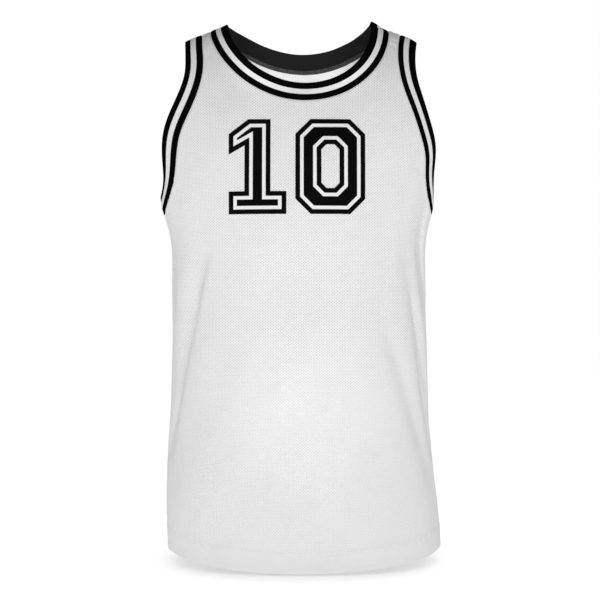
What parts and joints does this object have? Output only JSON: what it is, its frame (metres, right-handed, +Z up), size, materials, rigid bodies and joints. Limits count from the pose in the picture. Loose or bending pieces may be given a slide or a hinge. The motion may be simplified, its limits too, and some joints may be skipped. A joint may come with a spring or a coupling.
{
  "type": "basketball jersey",
  "caption": "Sleeveless basketball jersey held open as if worn, empty inside: eyelet mesh front and back, striped rib knit round the neck and the deep armholes, turned-up hem.",
  "frame": {"origin": "midway between the two shoulder straps, where they rest on the wearer's shoulders", "axes": "+X to the wearer's left, -Y out of the front, +Z up from the hem to the neck"},
  "size_m": [0.3898, 0.2501, 0.7485],
  "materials": {
    "eyelet_mesh": "white polyester eyelet mesh, soft, slightly glossy yarn",
    "rib_knit": "matt black rib knit with a white stripe along its middle"
  },
  "bodies": {
    "root": {"front_panel": "eyelet_mesh", "back_panel": "eyelet_mesh", "neck_rib": "rib_knit", "armhole_rib_left": "rib_knit", "armhole_rib_right": "rib_knit"}
  },
  "joints": []
}
